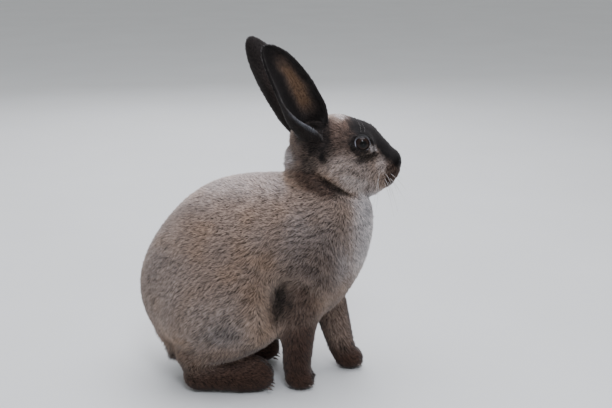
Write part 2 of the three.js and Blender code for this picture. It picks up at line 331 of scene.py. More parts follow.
def nearest_ear(p):
    """For each point: distance to the nearer ear's line in half widths, less 1 (0 or less on the ear),
    then its place s along that ear, u across it (-1 rear edge to 1 front edge), v towards its opening in
    half widths, and the ear's opening and its way."""
    best = None
    for s, middle, along, open_way, side_way, half in EAR_LINES.values():
        flat = p.reshape(-1, 3)
        station = np.empty(len(flat), int)
        for first in range(0, len(flat), AT_ONCE):
            part = flat[first : first + AT_ONCE]
            reach = (part**2).sum(1)[:, None] - 2 * part @ middle.T + (middle**2).sum(1)
            station[first : first + AT_ONCE] = reach.argmin(1)
        offset = flat - middle[station]
        u = (offset * side_way[station]).sum(1) / half[station]
        v = (offset * open_way[station]).sum(1) / half[station]
        gap = np.linalg.norm(offset, axis=1) / np.maximum(half[station], 4) - 1
        here = [gap, s[station], u, v, open_way[station], along[station]]
        if best is None:
            best = here
        else:
            nearer = here[0] < best[0]
            best = [np.where(nearer if a.ndim == 1 else nearer[:, None], a, b) for a, b in zip(here, best)]
    shape = p.shape[:-1]
    return [a.reshape(shape + a.shape[1:]) for a in best]


def ear_reach(s):
    """How far the crescent runs round from its deepest line to the rear edge, which rolls over to the
    front towards the root, and to the front edge, in radians."""
    rear = np.radians(84 + 112 * np.clip((0.58 - s) / 0.5, 0, 1))
    front = np.radians(84 + 20 * np.maximum(1 - 2.5 * s, 0))
    return rear, front


def ear_cup(name, rows=64, across=30):
    """The ear without its fur as a closed grid: rows along the line, and round each an outer arc from
    rear edge to front edge and an inner arc back, the gristle's thickness inside it."""
    s, middle, _, open_way, side_way, half = ear_frames(**EARS[name], stations=rows)
    s, half = s[:, None], half[:, None]
    depth = half * (0.9 - 0.4 * s)
    rear, front = ear_reach(s)
    wall = EAR_GRISTLE * np.minimum(1, half / 9)
    skin = np.minimum(EAR_COAT, half / 4)
    sweep = np.linspace(0, 1, across)

    def arc(inset, sweep, share=1):
        angle = share * (front * sweep - rear * (1 - sweep))
        out = (half - inset) * np.sin(angle)
        deep = (depth - inset) * np.cos(angle)
        return middle[:, None] + out[..., None] * side_way[:, None] - deep[..., None] * open_way[:, None]

    return np.concatenate([arc(skin, sweep), arc(skin + wall, sweep[::-1], 0.97)], axis=1)


# ------------------------ the skin's own shape
def groove(points, radii):
    """A chain of rods through the points, as one form to carve with."""
    rods = [limb(a, b, ra, rb) for a, b, ra, rb in zip(points, points[1:], radii, radii[1:])]
    return lambda p: np.minimum.reduce([rod(p) for rod in rods])


JAW_FOLD = [(40, 36, 265), (50, 37, 257), (63, 37, 248), (75, 35.5, 240), (87, 32, 233.5), (102, 24, 228)]
jaw_fold = groove(JAW_FOLD, (3, 4.5, 5.2, 4.8, 3.6, 2))  # on the left; the right mirrors it


def mirrored(p):
    """Points of the right side carried over to the left."""
    return np.stack([p[..., 0], abs(p[..., 1]), p[..., 2]], -1)


EYE_RADIUS = 8.8  # of the ball, which its cornea makes 3.5% more in front
LID_TILT = math.radians(28)  # the front corner of the eye lies this far below forward
LIDS_WITHIN = 5  # how far the lids reach from the eyeball


def eye_frame(side):
    """The eye's middle, its axis, and the directions forward and up square to it."""
    axis = unit(np.array([0.2, side, 0.06]))
    forward = unit(np.array([1, 0, 0]) - axis * axis[0])
    return EYE_MIDDLE * np.array([1, side, 1]), axis, forward, side * np.cross(forward, axis)


def eye_gap(p):
    """Distance outside the nearer eyeball."""
    return np.linalg.norm(mirrored(p) - EYE_MIDDLE, axis=1) - EYE_RADIUS


def lid_line(turn):
    """Where the lids' rim runs round the eye's axis: its reach from the axis, its height along it, and
    how near each turn is to the front corner, e^(-(angle to the corner / 0.4)^2). The oval is drawn out
    to a point there and, less, at the rear corner."""
    ahead = (turn + LID_TILT + math.pi) % (2 * math.pi) - math.pi
    behind = (turn + LID_TILT) % (2 * math.pi) - math.pi
    point, rear = np.exp(-((ahead / 0.4) ** 2)), np.exp(-((behind / 0.4) ** 2))
    reach = 7.7 + 0.3 * np.cos(2 * turn) + 2.6 * point + 0.8 * rear
    height = 4.9 - 2.0 * point - 0.9 * rear
    return reach, height, point


def lid_flesh(p):
    """The lids' soft mound: a round section that follows the rim just outside it, on both sides."""
    middle, axis, forward, up = eye_frame(LEFT)
    q = mirrored(p) - middle
    f, u = q @ forward, q @ up
    reach, height, _ = lid_line(np.arctan2(u, f))
    return np.hypot(np.hypot(f, u) - reach - 1.7, q @ axis - height + 1.1) - 1.9


def fold_cuts(side):
    """The hollow behind the elbow, the crease between shoulder and flank, and the mouth of the ear, as
    (form, rounding) pairs."""
    armpit = lump((14, side * 64, 114), (13, 15, 29), -10)
    shoulder = groove([(6, side * 80, 150), (14, side * 78, 185), (22, side * 70, 215)], (11, 12, 9))
    ear = EAR_LINES[NAMES[side]]
    low, high = (ear[1][np.searchsorted(ear[0], s)] for s in (0.02, 0.32))
    narrow, wide = (11, 16) if side == LEFT else (7, 15)
    return [(armpit, 16), (shoulder, 14), (limb(low, high, narrow, wide), 4)]


def face_cuts(side):
    """Eye socket, nostril and the side of the mouth."""
    nostril = [(146, side * 2.4, 257.5), (145.5, side * 5.2, 260.5), (142, side * 7.8, 261.5)]
    mouth = [(146, 0, 246), (142, side * 5, 243), (133, side * 10.5, 243), (124, side * 14, 247)]
    return [
        (lump(eye_frame(side)[0], (EYE_RADIUS + 0.5,) * 3), 1.2),
        (groove(nostril, (1.0, 1.9, 1.2)), 1.5),
        (groove(mouth, (1.2, 1.6, 1.5, 0.9)), 2),
    ]


def toe_cuts(side):
    """Three clefts between the toes of each foot."""
    _, wrist, toes = FORELEGS[NAMES[side]]
    top, tip = wrist[0] + 17, toes[0] + 16.5
    hind = [(-17, 45), (-2, 35.5), (6, 24), (7.3, 12), (5, -3)]
    fore = [(top, 29), (tip - 3.5, 20), (tip, 11), (tip - 2, -3)]
    return [
        (groove([(x, y, z) for x, z in line], radii), rounding)
        for line, radii, rounding, middle, gap in (
            (hind, (1.5, 3, 3.4, 3.4, 3), 3, side * HIND_FOOT_MIDDLE, 8.5),
            (fore, (1, 2.6, 3, 2.6), 2.6, toes[1], 7.5),
        )
        for y in (middle - gap, middle, middle + gap)
    ]


LIP_CLEFT = (groove([(149, 0, 261), (149, 0, 252), (147, 0, 246)], (1.0, 2.0, 1.6)), 1.5)
FOLDS = [(lambda p: jaw_fold(mirrored(p)), 3.5), *both_sides(fold_cuts)]
TOE_CUTS = both_sides(toe_cuts)
FINE_CUTS = [*both_sides(face_cuts), *TOE_CUTS, LIP_CLEFT]


def lip_gap(p):
    """Distance outside the nearest of the nostrils, the mouth and the cleft of the lip."""
    q = mirrored(p)
    return np.minimum.reduce([cut(q) for cut, _ in (*face_cuts(LEFT)[1:], LIP_CLEFT)])


def skin_level(p, depth, cuts=FOLDS):
    """Zero on the skin: the coat tips' distance plus the coat's depth, joined with the flesh of the lids,
    with the cuts carved. A crease 5 mm deep runs round the tail, just outside it."""
    d = blend(coat_tips(p) + depth, lid_flesh(p), 3)
    tail_crease = np.maximum(abs(tail_form(p) - 1.5) - 1.8, -d - 5)
    d = carve(d, tail_crease, 4)
    for cut, k in cuts:
        d = carve(d, cut(p), k)
    return d


def slide_onto_skin(p, times, cuts=FOLDS, step=0.3, most=3.0):
    """Newton steps along the slope, by forward differences, until skin_level is zero, none over most."""
    for _ in range(times):
        depth = regional(region_shares(p), "depth")
        here = skin_level(p, depth, cuts)
        ahead = [skin_level(p + axis, depth, cuts) for axis in np.eye(3) * step]
        slope = (np.stack(ahead, -1) - here[:, None]) / step
        move = here / np.maximum((slope**2).sum(-1), 0.05)
        p = p - slope * np.clip(move, -most, most)[:, None]
    return p


def mesh_object(name, vertices, faces, smooth=True):
    """A mesh object at the origin from arrays of vertices in metres and of faces."""
    mesh = bpy.data.meshes.new(name)
    faces = np.asarray(faces)
    mesh.vertices.add(len(vertices))
    mesh.vertices.foreach_set("co", np.asarray(vertices, np.float32).ravel())
    mesh.loops.add(faces.size)
    mesh.loops.foreach_set("vertex_index", faces.astype(np.int32).ravel())
    mesh.polygons.add(len(faces))
    mesh.polygons.foreach_set("loop_start", np.arange(0, faces.size, faces.shape[1], dtype=np.int32))
    mesh.polygons.foreach_set("use_smooth", np.full(len(faces), smooth))
    mesh.update(calc_edges=True)
    thing = bpy.data.objects.new(name, mesh)
    bpy.context.scene.collection.objects.link(thing)
    return thing


def wrapped_faces(rows, columns, first=0):
    """Quads of a grid that closes on itself along its columns."""
    r, c = np.meshgrid(np.arange(rows - 1), np.arange(columns), indexing="ij")
    a, b = r * columns + c, r * columns + (c + 1) % columns
    return np.stack([a, b, b + columns, a + columns], -1).reshape(-1, 4) + first


def closed_grid(points):
    """Vertices and triangles of a grid that is wrapped along its columns and fanned shut at both ends."""
    rows, columns = points.shape[:2]
    quads = wrapped_faces(rows, columns)
    ends = np.array([points[0].mean(0), points[-1].mean(0)])
    first, last = rows * columns, rows * columns + 1
    around = np.arange(columns)
    ahead = (around + 1) % columns
    base = (rows - 1) * columns
    fans = [
        np.stack([np.full(columns, first), ahead, around], -1),
        np.stack([np.full(columns, last), base + around, base + ahead], -1),
    ]
    return np.concatenate([points.reshape(-1, 3), ends]), np.concatenate([halved(quads), *fans])


def halved(quads):
    """Each quad as two triangles."""
    return np.concatenate([quads[:, [0, 1, 2]], quads[:, [0, 2, 3]]])


def outward(vertices, tris):
    """The triangles turned so that the closed shape's volume is positive."""
    a, b, c = (vertices[tris[:, n]] for n in range(3))
    return tris if (a * np.cross(b, c)).sum() > 0 else tris[:, ::-1]


def applied(thing, kind, **settings):
    """The object's mesh with one modifier worked out, and the modifier gone."""
    modifier = thing.modifiers.new(kind.lower(), kind)
    for name, value in settings.items():
        setattr(modifier, name, value)
    graph = bpy.context.evaluated_depsgraph_get()
    mesh = bpy.data.meshes.new_from_object(thing.evaluated_get(graph))
    thing.modifiers.clear()
    old, thing.data = thing.data, mesh
    bpy.data.meshes.remove(old)
    return thing


def rows_of(items, field, width=3, kind=np.float32):
    """A field of a mesh's vertices, corners or triangles, in rows of width numbers."""
    values = np.empty(len(items) * width, kind)
    items.foreach_get(field, values)
    return values.reshape(-1, width).astype(kind if kind is np.int32 else float)


def coordinates(mesh):
    """The places of a mesh's vertices."""
    return rows_of(mesh.vertices, "co")


def move_vertices(mesh, to):
    """A mesh's vertices put at new places."""
    mesh.vertices.foreach_set("co", np.asarray(to, np.float32).ravel())
    mesh.update()


def body_skin():
    """Every form's grid joined by a voxel remesh, slid onto the skin's level, remeshed to even it out
    and slid again; then face and toes, and once more the lids, are divided finer for their details."""
    forms = [entry[0] for entry in trunk_forms + head_forms]
    for s in (LEFT, RIGHT):
        forms += [entry[0] for entry in thigh_forms(s) + hind_foot_forms(s)] + [shanks[s]]
    for joints in FORELEGS.values():
        forms += [entry[0] for entry in foreleg_forms(*joints)]
    shells = [closed_grid(form.skin(28, 40)) for form in forms + [tail_form]]
    starts = np.cumsum([0] + [len(v) for v, _ in shells[:-1]])
    vertices = np.concatenate([v for v, _ in shells])
    tris = np.concatenate([outward(v, t) + n for (v, t), n in zip(shells, starts)])
    skin = mesh_object("skin", vertices, tris)
    for voxel, times in ((4.0, 4), (2.15, 2)):  # millimetres, and slides after the remesh
        applied(skin, "REMESH", mode="VOXEL", voxel_size=voxel, use_smooth_shade=True)
        move_vertices(skin.data, slide_onto_skin(coordinates(skin.data), times))
    divide_finer(skin.data, on_face_or_toes)
    divide_finer(skin.data, lambda p: eye_gap(p) < LIDS_WITHIN)
    move_vertices(skin.data, slide_onto_skin(coordinates(skin.data), 3, FOLDS + FINE_CUTS, most=1.0))
    return skin


def on_face_or_toes(p):
    """Whether points are on the head in front of the jaw's fold or on the front of the feet."""
    x, y, z = p.T
    face = (x > 60) & (0.66 * (x - 66) + 0.75 * (z - 262) > 0)
    hind = (x > -22) & (x < 14) & (abs(abs(y) - HIND_FOOT_MIDDLE) < 20)
    return face | hind & (z < 46) | (x > 30) & (z < 30)


def divide_finer(mesh, where):
    """Halves the edges between vertices that `where` holds for."""
    work = bmesh.new()
    work.from_mesh(mesh)
    chosen = where(coordinates(mesh))
    edges = [e for e in work.edges if chosen[e.verts[0].index] and chosen[e.verts[1].index]]
    bmesh.ops.subdivide_edges(work, edges=edges, cuts=1, use_grid_fill=True)
    work.to_mesh(mesh)
    work.free()


def ear_shell(name):
    """The ear cup as a closed mesh: its grid, with a strip across the crescent at each end."""
    points = ear_cup(name)
    rows, around = points.shape[:2]
    quads = wrapped_faces(rows, around)
    m = np.arange(around // 2 - 1)
    strip = np.stack([m, m + 1, around - 2 - m, around - 1 - m], -1)
    ends = [strip[:, ::-1], strip + (rows - 1) * around]
    vertices = points.reshape(-1, 3)
    tris = outward(vertices, halved(np.concatenate([quads, *ends])))
    return mesh_object(f"ear_{name}_shell", vertices, tris)


def with_ears(skin):
    """The skin united with both ears, so that skin and ears are one closed surface."""
    for name in EARS:
        ear = ear_shell(name)
        applied(skin, "BOOLEAN", operation="UNION", solver="EXACT", object=ear)
        bpy.data.objects.remove(ear)
    skin.data.polygons.foreach_set("use_smooth", np.ones(len(skin.data.polygons), bool))
    return skin


# ------------------------ markings
def waves(p, size, seed):
    """Smooth noise from about -1 to 1: ten sine waves of random ways and phases, over the root of 10.
    Their lengths are 1.7 to 3.4 times size."""
    rng = np.random.default_rng(seed)
    ways = rng.normal(size=(10, 3))
    ways *= (2 * math.pi / (size * rng.uniform(1.7, 3.4, 10)) / np.linalg.norm(ways, axis=1))[:, None]
    return np.sin(p @ ways.T + rng.uniform(0, 2 * math.pi, 10)).sum(-1) / math.sqrt(10)


def patch(p, centre, radii, pitch=0, soft=0.35):
    """1 inside an egg on both sides of the body and 0 outside it, fading across its surface over soft
    times its least radius either way."""
    return ramp(lump(centre, radii, pitch)(mirrored(p)) / min(radii), soft, -soft)


# Patches of the markings, named for where they lie: the share at the middle, then an egg's middle, radii
# and pitch and how soft its edge is, as patch() takes them. Some dark and rust patches are painted shade.
PATCHES = {
    "tan": {
        "seat": (0.6, (-105, 44, 58), (32, 40, 18), 30, 0.6),
        "jowl": (0.5, (80, 34, 242), (28, 20, 10), -22, 0.6),
        "belly": (0.5, (-6, 70, 108), (22, 30, 40), 0, 0.7),
    },
    "pale": {
        "throat": (1, (114, 0, 206), (24, 36, 28), 0, 0.5),
        "cheek": (0.2, (96, 34, 256), (32, 22, 18), -22, 0.5),
        "jaw": (0.42, (102, 26, 242), (27, 22, 11), -28, 0.6),
        "rump": (0.16, (-118, 40, 130), (40, 60, 60), 0, 0.6),
        "hip": (0.2, (-55, 74, 92), (44, 24, 34), 10, 0.8),
        "side of the nose": (0.25, (126, 16, 264), (6, 14, 11), -10, 0.6),
    },
    "ash": {
        "shoulder": (0.5, (52, 56, 178), (34, 34, 44), 20, 0.6),
        "haunch": (0.55, (-50, 74, 82), (28, 24, 13), 6, 0.9),
    },
    "rust": {
        "front of the ear": (0.8, (68, 24, 303), (12, 18, 16), 0, 0.6),
        # brown fur, with painted shade in the fold under the jaw
        "neck": (0.85, (52, 34, 246), (28, 32, 11), -26, 0.5),
        "nape": (0.55, (36, 14, 268), (13, 26, 30), 0, 0.5),
        "arm": (0.7, (38, 48, 108), (21, 34, 34), 0, 0.5),
        "upper arm": (0.32, (58, 48, 152), (30, 36, 34), 20, 0.6),
    },
    "dark": {
        "brow": (1, (103, 24, 301), (15, 20, 9), -30, 0.5),
        "round the eye": (0.9, (102, 28, 288), (14, 20, 14), -12, 0.3),
        "under the eye": (0.85, (110, 30, 273), (15, 26, 6.5), 12, 0.7),
        "behind the eye": (0.4, (86, 30, 287), (10, 18, 12), 0, 0.8),
        "root of the ear": (0.95, (52, 26, 302), (18, 24, 15), 0, 0.4),
        # the next two: dark fur, with painted shade between cheek and neck
        "under the ear": (0.7, (49, 34, 270), (9, 22, 18), -12, 0.5),
        "under the jaw": (0.3, (62, 35, 241), (26, 30, 6), -24, 0.6),
        # painted shade in the pocket behind the elbow
        "behind the elbow": (0.85, (14, 62, 112), (13, 26, 26), -8, 0.6),
    },
}


def patches(p, colour):
    """The shares of a colour's patches, one array for each."""
    return [share * patch(p, *egg) for share, *egg in PATCHES[colour].values()]


def markings_and_painted_light(p, n):
    """Shares of tan, pale, ash, brown, rust, dark and painted sheen over the ground colour, at points p
    with outward normals n. Each is the greatest of its own patches there, or the ear's own on an ear.
    Besides the fur's own markings, dark also carries painted shade: in creases and clefts, in the pocket
    behind the elbow, on undersides and low at the rear; pale carries a painted highlight on the back and
    crown."""
    ear, on_ear = ear_markings_and_sheen(p, n)
    exact = p
    p = p + 1.1 * np.stack([waves(p, 4, seed) for seed in (1, 2, 3)], -1)  # no marking has a clean edge
    x, y, z = p.T
    wide = abs(y)
    shares = region_shares(p)
    on_limbs = shares["foreleg"] + shares["hind_foot"]
    on_head = shares["head"] + shares["muzzle"]
    on_body = shares["body"]
    corner = patch(p, (117, 26, 281), (7.5, 12, 2.6), -48, 0.7)  # pale skin ahead of the eye
    tuft = nape_tuft(p) * (0.75 + 0.35 * waves(p, 3, 9))
    mottle = waves(p, 15, 6) * on_body

    bridge = ramp(0.66 * (x - 97) + 0.75 * (z - 301), -6, 2) * ramp(x, 84, 96)
    snout = 0.85 * ramp(x + 0.35 * (z - 262), 130, 138) * ramp(z, 260, 269)
    mouth = 0.35 * ramp(x, 128, 133) * ramp(x, 142, 135) * ramp(z, 264, 258)
    streaks = 0.86 + 0.16 * waves(p * (1, 1, 0.5), 5, 5)
    behind_cheek = streaks * patch(p, (59, 34, 288), (17, 24, 22), 20) * ramp(wide, 8, 18)
    # painted shade in the crease of the jaw's fold
    fold = 0.95 * ramp(jaw_fold(mirrored(exact)), 0.9, -0.5) * ramp(x, 104, 92)
    # painted shade in the nostrils, the mouth and the cleft of the lip
    lips = 0.95 * ramp(lip_gap(exact), 0.9, 0)
    # painted shade in the clefts between the toes
    clefts = 0.7 * ramp(np.minimum.reduce([cut(exact) for cut, _ in TOE_CUTS]), 1.2, 0)
    # painted shade on faces turned downwards
    under = 0.6 * ramp(n[:, 2], -0.4, -0.9) * (1 - on_head)
    # darker low at the rear: the dark fur there, with painted shade towards the floor
    seat = 0.7 * ramp(z, 46, 30) * ramp(x, 0, -20) * (1 - shares["hind_foot"])
    dark = np.maximum.reduce([
        *patches(p, "dark"), bridge * on_head, snout * on_head, mouth * on_head, behind_cheek, fold, lips,
        clefts, under, seat, 0.1 * shares["tail"],
    ])
    dark = dark * (1 - 0.6 * corner) * (1 - 0.75 * tuft)

    temple = 0.85 * on_head * ramp(z, 270, 286) * ramp(x, 112, 104) * ramp(z - 0.2 * x, 297, 290)
    lip = (0.8 + 0.2 * waves(p, 3, 8)) * ramp(x, 127, 133) * on_head
    rust = np.maximum.reduce([
        *patches(p, "rust"), on_limbs * ramp(z, 118, 78), temple, lip, 0.2 * shares["tail"],
        0.4 * ramp(z, 74, 50) * on_body,
    ])
    rust = rust * (1 - 0.75 * tuft)
    inner_arm = shares["foreleg"] * ramp(-n[:, 1] * np.sign(y), 0.0, 0.7) * ramp(z, 16, 50)
    rust -= 0.6 * rust * inner_arm

    # a painted highlight where the back faces up
    back = 0.32 * ramp(n[:, 2], 0.62, 0.97) * on_body
    chest = ramp(n[:, 0], 0.36, 0.92) * on_body * ramp(z, 110, 165) * ramp(x, 52, 84)
    # a painted highlight along the top of the head
    crown_highlight = 0.7 * ramp(z + 0.2 * x, 325, 330) * ramp(x, 97, 88) * ramp(wide, 22, 14) * on_head
    pale = np.maximum.reduce([*patches(p, "pale"), back, chest, crown_highlight, 0.7 * corner, np.clip(tuft, 0, 1)])
    ash = np.maximum.reduce([*patches(p, "ash"), 0.22 * ramp(mottle, 0, 1.4)])
    tan = np.maximum.reduce([*patches(p, "tan"), 0.4 * ramp(-mottle, 0, 1.4)])
    off_ear = {"tan": tan, "pale": pale, "ash": ash, "brown": 0, "rust": rust, "dark": dark, "painted_sheen": 0}
    return {key: off_ear[key] * (1 - ear) + on_ear[key] * ear for key in off_ear}


def ear_markings_and_sheen(p, n):
    """How far each point is on an ear, and the shares there: a brown middle in the cup, a painted sheen
    down the middle of the round back, and a painted sheen on the roll at the rear edge, the rest near
    black."""
    gap, s, u, v, opening, _ = nearest_ear(p)
    ear = ramp(gap, 0.35, 0.05) * ramp(coat_tips(p), -6, 0)
    rear, front = ear_reach(s)
    round_cup = np.arctan2(u, -v)  # angle from the crescent's deepest line
    round_cup = np.where(round_cup > front + 0.35, round_cup - 2 * math.pi, round_cup)
    roll = ramp(abs(round_cup + rear - 0.1), 0.32, 0.05)  # the rolled rear edge catches the light
    facing = (n * opening).sum(1)
    inside = ramp(facing, -0.1, 0.3) * ramp(v, 0.3, 0.1)
    middle = inside * ramp(abs(u - 0.22 + 0.05 * waves(p, 9, 4)), 0.6, 0.12) * ramp(s, 0.16, 0.38)
    middle *= 0.95 * ramp(s, 0.95, 0.65)
    # a painted sheen down the middle of the ear's round back
    back_sheen = 0.45 * ramp(facing, -0.2, -0.7) * ramp(abs(u), 0.7, 0.2) * ramp(s, 0.8, 0.5)
    return ear, {
        "tan": 0,
        "pale": 0,
        "ash": 0.9 - 0.7 * middle,
        "brown": middle,
        "rust": 0.75 - 0.45 * middle,
        "dark": 0.86 + 0.1 * inside - 0.92 * middle - back_sheen,
        # a painted sheen along the rolled rear edge
        "painted_sheen": 0.8 * roll * ramp(s, 0.45, 0.26) * ramp(s, 0.1, 0.2),
    }


def nape_tuft(p):
    """The share of a loose pale tuft behind the ears."""
    return patch(p, (25, 0, 268), (10, 22, 12), 0, 0.5)


# ------------------------ the skin
def store(mesh, name, values):
    """Values kept with a mesh's vertices under a name, for its material to read."""
    values = np.asarray(values, np.float32)
    kind = "FLOAT" if values.ndim == 1 else "FLOAT_VECTOR"
    layer = mesh.attributes.new(name, kind, "POINT")
    layer.data.foreach_set("value" if values.ndim == 1 else "vector", values.ravel())


def unwrap(thing):
    """A UV map named OFBake, cut where the skin turns by more than 66 degrees."""
    thing.data.uv_layers.new(name="OFBake")
    bpy.ops.object.select_all(action="DESELECT")
    bpy.context.view_layer.objects.active = thing
    thing.select_set(True)
    bpy.ops.object.mode_set(mode="EDIT")
    bpy.ops.mesh.select_all(action="SELECT")
    bpy.ops.uv.smart_project(angle_limit=math.radians(66), island_margin=0.002)
    bpy.ops.object.mode_set(mode="OBJECT")


SOLE_HEIGHT = 0.8  # the floor presses the soles level here, under their fur

skin = with_ears(body_skin())
skin_points, skin_normals = coordinates(skin.data), rows_of(skin.data.vertex_normals, "vector")
skin_points[:, 2] = np.maximum(skin_points[:, 2], SOLE_HEIGHT)
for name, share in markings_and_painted_light(skin_points, skin_normals).items():
    store(skin.data, name, share)
move_vertices(skin.data, to_row(skin_points))
unwrap(skin)
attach(skin, "root")
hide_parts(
    "trunk", "neck", "head", "tail",
    *(f"{part}_{side}" for part in ("ear", "thigh", "hind_foot", "foreleg") for side in SIDES),
)


# ------------------------ the coat
COAT_TUFTS = 365_000  # four triangles each, so under 1.5 million in all
SEED = 7
BARE_SOLE = 1.2  # no tuft grows lower than this
BARE_RIM = 1.5  # nor nearer to the eyeball than this
FLOOR_CLEARANCE = 0.25  # no tip reaches lower than this
# Where a tuft's four corners lie on the unwrap, from its root's place there.
TUFT_PATCH = np.array([[-0.0013, -0.001], [0.0013, -0.001], [0, 0.0006], [0, 0.0016]])


def scatter(mesh, points, normals):
    """Roots spread at random over the skin, more of them where the region's coat is denser: each with
    its place, normal and UV, mixed from its triangle's corners by weights that add up to 1."""
    mesh.calc_loop_triangles()
    corners, loops = (rows_of(mesh.loop_triangles, key, 3, np.int32) for key in ("vertices", "loops"))
    uv = rows_of(mesh.uv_layers["OFBake"].data, "uv", 2)
    a, b, c = (points[corners[:, n]] for n in range(3))
    area = np.linalg.norm(np.cross(b - a, c - a), axis=1) / 2
    middles = (a + b + c) / 3
    shares = coat_shares(middles)
    want = area * regional(shares, "density")
    want[(middles[:, 2] < BARE_SOLE) | (eye_gap(middles) < BARE_RIM)] = 0
    rng = np.random.default_rng(SEED)
    pick = rng.choice(len(want), COAT_TUFTS, p=want / want.sum())
    w = np.sort(rng.random((COAT_TUFTS, 2)), axis=1)
    w = np.stack([w[:, 0], w[:, 1] - w[:, 0], 1 - w[:, 1]], -1)[..., None]
    sources = ((points, corners), (normals, corners), (uv, loops))
    place, normal, spot = ((values[index[pick]] * w).sum(1) for values, index in sources)
    return place, unit(normal), spot, rng


def coat_shares(p):
    """region_shares, with the ears as a region of their own."""
    ear = ramp(nearest_ear(p)[0], 0.35, 0.1) * ramp(coat_tips(p), -3, 3)
    shares = {name: share * (1 - ear) for name, share in region_shares(p).items()}
    shares["ear"] = ear
    return shares


def lie_of_coat(p, n, shares):
    """The way the fur lies: back along the body, down over chest and rump, away from the nose on the
    head, down the legs and along the toes, up the ears; laid into the skin and swirled a little."""
    x, _, z = p.T
    chest = ramp(n[:, 0], 0.1, 0.7)[:, None]
    rump = ramp(x, -70, -130)[:, None]
    body = np.array([-1, 0, -0.35]) * (1 - chest) * (1 - rump) + np.array([-0.1, 0, -1]) * (chest + rump)
    from_nose = unit(p - np.array([152, 0, 264])) + np.array([0, 0, -0.3]) * ramp(z, 275, 250)[:, None]
    toes = ramp(z, 34, 16)[:, None]
    foreleg = np.array([0.1, 0, -1]) * (1 - toes) + np.array([1, 0, -0.5]) * toes
    ways = {
        "body": body, "head": from_nose, "muzzle": from_nose, "foreleg": foreleg,
        "hind_foot": np.array([1, 0, -0.2]), "tail": np.array([-0.6, 0, -0.8]), "ear": nearest_ear(p)[5],
    }
    way = sum(share[:, None] * ways[name] for name, share in shares.items())
    way = unit(way - n * (way * n).sum(1)[:, None])
    swirl = 0.22 * waves(p, 12, 11) + 0.22 * waves(p, 3.2, 12)
    return unit(way + swirl[:, None] * np.cross(n, way))


def tufts(p, n, uv, rng):
    """Every tuft as a thin pointed wedge with a ridge on top: two corners sunk in the skin either side
    of the root, one behind and above it, and a tip out along the lie at the region's lift. Tufts clump
    in waves, and are cut short at the eye, the jaw's fold and the lips. Returned as corners, their soft
    normals and UVs, the clumps' waves and the regions' shares."""
    shares = coat_shares(p)
    way = lie_of_coat(p, n, shares)
    across = np.cross(n, way)
    count = len(p)
    clump = waves(p, 0.95, 21)
    loose = nape_tuft(p)
    length = regional(shares, "length") * (1 + 0.14 * clump + rng.uniform(-0.15, 0.15, count) + 0.9 * loose)
    lift = np.radians(
        regional(shares, "lift") + 6 * waves(p, 2.2, 22) + rng.normal(0, 4, count) + 22 * loose
    )
    width = regional(shares, "width") * rng.uniform(0.75, 1.25, count)
    lean = way + 0.26 * clump[:, None] * across + rng.normal(0, 0.08, (count, 3))
    length *= 0.35 + 0.65 * ramp(eye_gap(p), 1.0, 7.0)
    length *= 0.4 + 0.6 * ramp(jaw_fold(mirrored(p)), 0, 2.5)
    length *= 0.35 + 0.65 * ramp(lip_gap(p), 0.3, 3)
    out = unit(unit(lean) * np.cos(lift)[:, None] + n * np.sin(lift)[:, None])
    half = (width / 2)[:, None]
    foot = p - 0.5 * n
    ridge = p + (0.35 * n - 0.3 * way) * half * 2
    corners = np.stack([foot - across * half, foot + across * half, ridge, p + out * length[:, None]], 1)
    corners[..., 2] = np.maximum(corners[..., 2], FLOOR_CLEARANCE)
    soft = np.stack([n, n, n, unit(0.75 * n + 0.5 * out)], 1)
    return corners, soft, uv[:, None] + TUFT_PATCH, clump, shares


def coat_piece(name, corners, soft, uv, marks_and_painted_light, shade):
    """One object of tufts: four triangles each, with the markings and painted light of their roots."""
    count = len(corners)
    first = 4 * np.arange(count)[:, None, None]
    faces = (first + np.array([[0, 1, 3], [1, 2, 3], [2, 0, 3], [0, 2, 1]])).reshape(-1, 3)
    piece = mesh_object(name, to_row(corners.reshape(-1, 3)), faces)
    mesh = piece.data
    for key, share in marks_and_painted_light.items():
        store(mesh, key, np.repeat(share, 4))
    store(mesh, "shade", np.repeat(shade, 4))
    store(mesh, "along", np.tile([0, 0, 0, 1], count))
    layer = mesh.uv_layers.new(name="OFBake")
    layer.data.foreach_set("uv", uv.reshape(-1, 2)[faces.ravel()].astype(np.float32).ravel())
    mesh.normals_split_custom_set_from_vertices(soft.reshape(-1, 3))
    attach(piece, "root")
    return piece


roots, root_normals, root_uv, rng = scatter(skin.data, skin_points, skin_normals)
corners, soft, tuft_uv, clump, shares = tufts(roots, root_normals, root_uv, rng)
marks_and_painted_light = markings_and_painted_light(roots, root_normals)
blur = rng.uniform(-0.5, 0.5, len(roots)) * (1 - 0.6 * shares["ear"])
for key in marks_and_painted_light:  # hairs of two colours mix where a marking fades
    marks_and_painted_light[key] = np.clip(marks_and_painted_light[key] + 1.4 * blur * marks_and_painted_light[key] * (1 - marks_and_painted_light[key]), 0, 1)
shade = np.clip(0.55 * clump + 0.12 * waves(roots, 4.5, 31) + rng.normal(0, 0.4, len(roots)), -1, 1)
shade *= 1 - 0.6 * shares["ear"]

